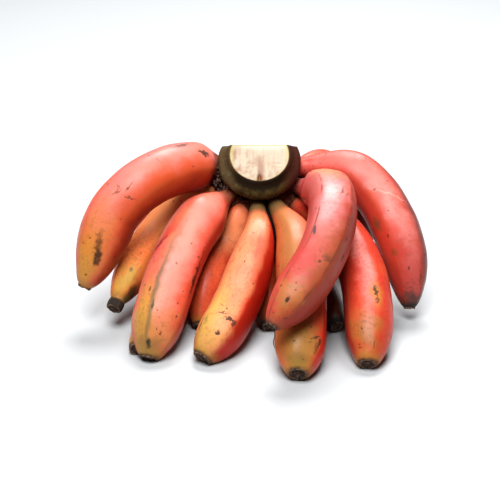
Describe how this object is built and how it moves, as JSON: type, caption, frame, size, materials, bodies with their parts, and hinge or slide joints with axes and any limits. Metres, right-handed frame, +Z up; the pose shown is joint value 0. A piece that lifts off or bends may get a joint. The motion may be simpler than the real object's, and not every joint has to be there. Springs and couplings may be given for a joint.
{
  "type": "hand of red bananas",
  "caption": "Hand of red bananas on its cut crown, standing on its fingertips, with ridged curved fruit in two rows that fan out and down to dark flower ends.",
  "frame": {"origin": "on the surface that the hand stands on, under the middle of its bounding box", "axes": "+X across the hand to its right as seen from the cut end, +Y away from the cut end, +Z up"},
  "size_m": [0.2756, 0.23, 0.1306],
  "materials": {
    "red_skin": "smooth ripe peel, satin, dark red to coral with orange and yellow-olive patches, brown scars",
    "shaded_red_skin": "smooth ripe peel, satin, deep orange-red, browner and greener at the ends",
    "dark_olive_rind": "rind of the stalk, semi-matt, olive-brown to near black",
    "cut_pith": "fresh cut fibrous pith, matt, cream with pinkish-brown fibres",
    "dried_flower_end": "dry and crumbly, matt, brown-black with grey flakes"
  },
  "bodies": {
    "root": {"crown": "dark_olive_rind", "front_banana_1": "red_skin", "front_banana_2": "red_skin", "front_banana_3": "red_skin", "front_banana_4": "red_skin", "front_banana_5": "red_skin", "front_banana_6": "red_skin", "back_banana_1": "shaded_red_skin", "back_banana_2": "shaded_red_skin", "back_banana_3": "shaded_red_skin", "back_banana_4": "shaded_red_skin", "back_banana_5": "shaded_red_skin", "back_banana_6": "shaded_red_skin", "back_banana_7": "shaded_red_skin", "back_banana_8": "shaded_red_skin"}
  },
  "joints": []
}
